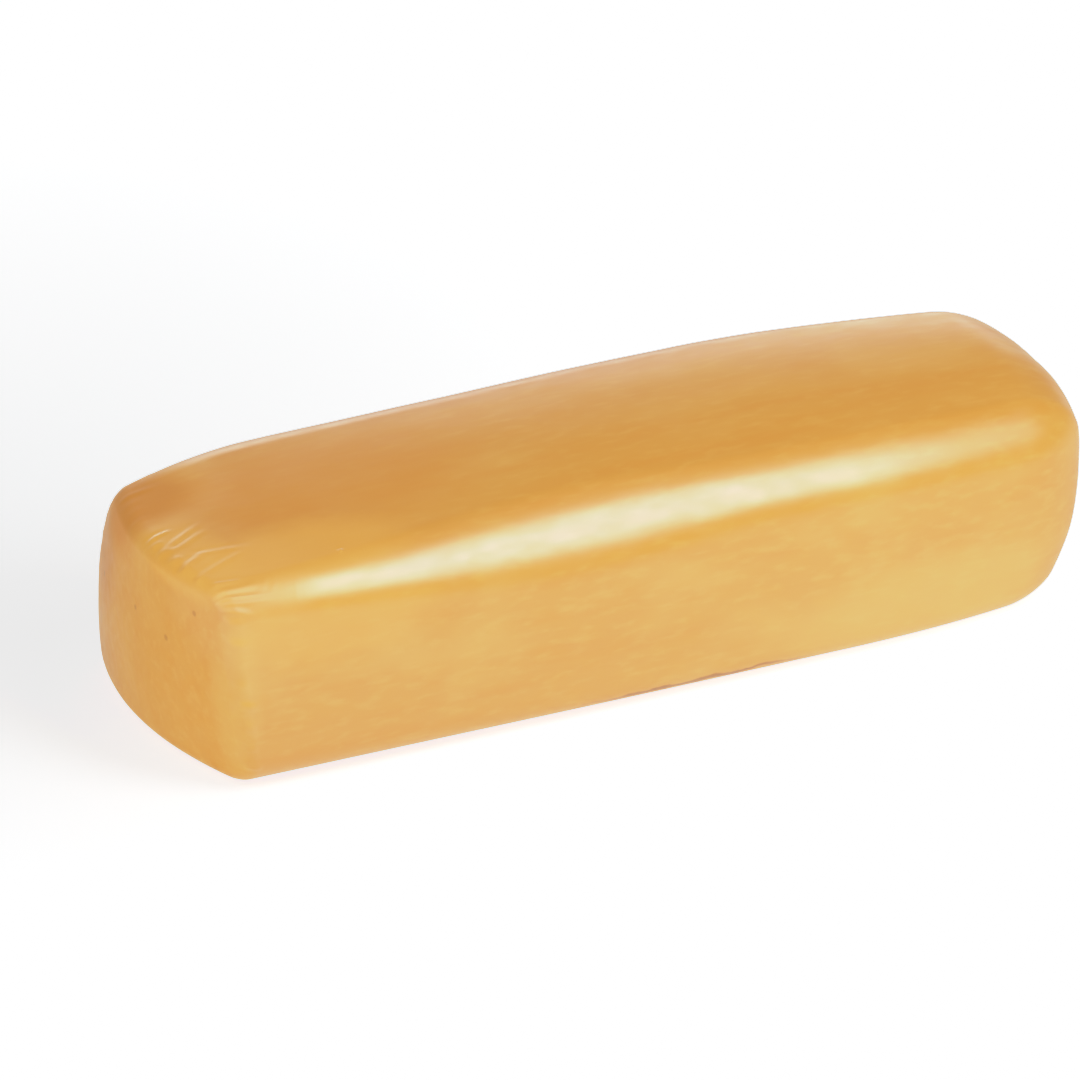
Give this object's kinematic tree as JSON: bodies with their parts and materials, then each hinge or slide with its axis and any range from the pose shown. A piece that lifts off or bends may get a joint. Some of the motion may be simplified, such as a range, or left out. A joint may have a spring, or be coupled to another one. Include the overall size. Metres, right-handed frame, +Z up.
{
  "type": "smoked scamorza loaf",
  "caption": "Long block-shaped loaf of smoked scamorza cheese with rounded edges, bulging ends and a glossy amber skin, gathered in small pleats round one end. It lies on its flat base.",
  "frame": {"origin": "middle of the base, on the surface that the loaf lies on", "axes": "+X along the loaf from the pleated end to the rounder end, +Y from the front side to the back, +Z up"},
  "size_m": [0.3274, 0.116, 0.0783],
  "materials": {
    "smoked_skin": "tight, semi-gloss smoked cheese skin, amber, with faint lengthwise streaks"
  },
  "bodies": {
    "root": {"scamorza_loaf": "smoked_skin"}
  },
  "joints": []
}
